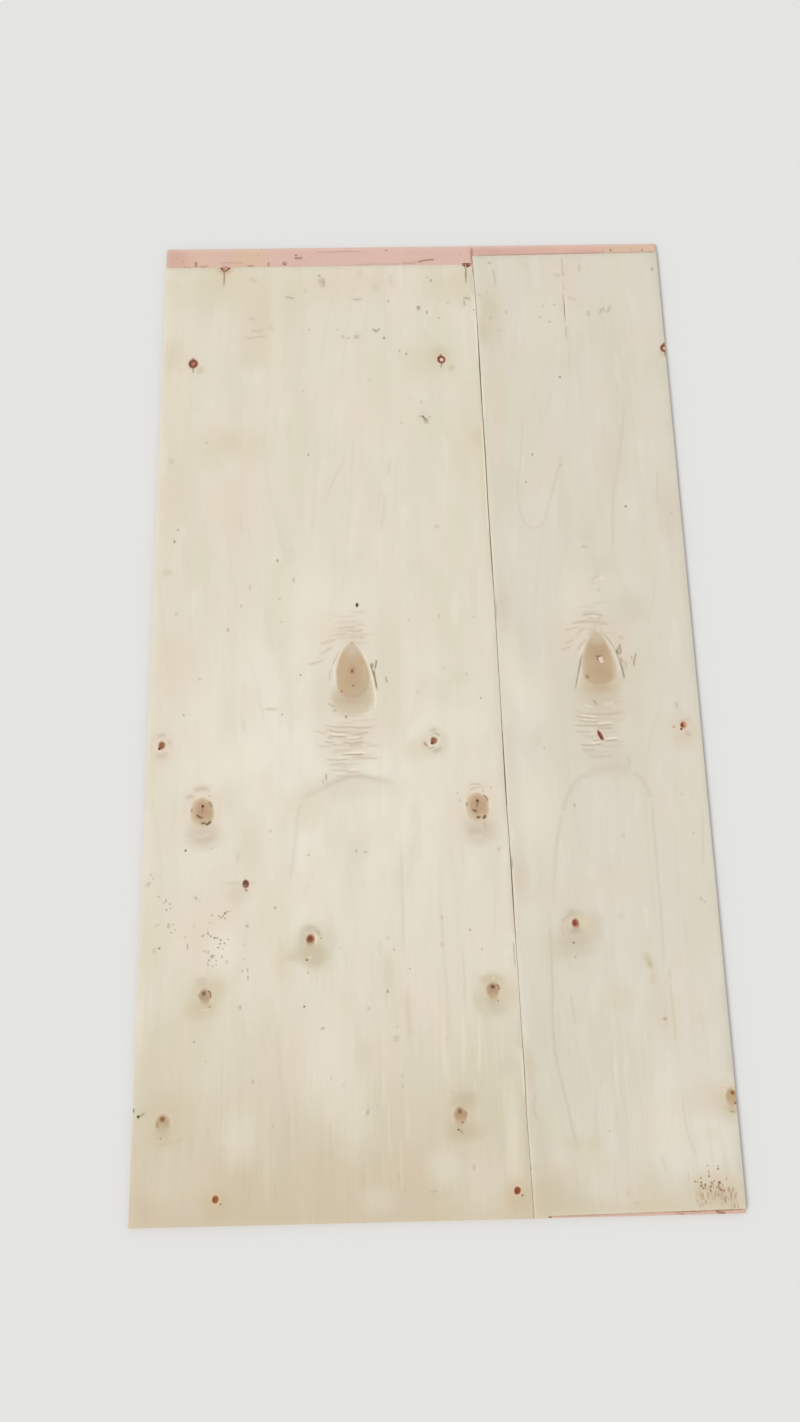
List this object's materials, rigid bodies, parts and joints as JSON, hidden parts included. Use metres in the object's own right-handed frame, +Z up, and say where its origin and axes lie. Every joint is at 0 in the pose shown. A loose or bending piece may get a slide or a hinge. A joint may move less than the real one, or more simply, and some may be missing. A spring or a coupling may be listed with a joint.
{
  "type": "plywood sheet",
  "caption": "Flat rectangular plywood sheet of glued crossed plies, its pale knotty face laid in veneers that meet in an open joint, for sheathing, flooring and packing.",
  "frame": {"origin": "centre of the sheet's underside", "axes": "+X across the sheet, from the wide face veneer to the narrow one; +Y along the sheet and its face grain, towards the end where both face veneers stop short; +Z up through the thickness, out of the face"},
  "size_m": [1.2, 2.2, 0.012],
  "materials": {
    "face_veneer": "sanded, unfinished",
    "crossband": "rotary cut, unfinished",
    "core_veneer": "rotary cut, unfinished",
    "back_veneer": "sanded, unfinished"
  },
  "bodies": {
    "root": {"back_veneer": "back_veneer", "crossband_lower": "crossband", "core_veneer_lower": "core_veneer", "crossband_middle": "crossband", "core_veneer_upper": "core_veneer", "crossband_upper": "crossband", "face_veneer_left": "face_veneer", "face_veneer_right": "face_veneer"}
  },
  "joints": []
}
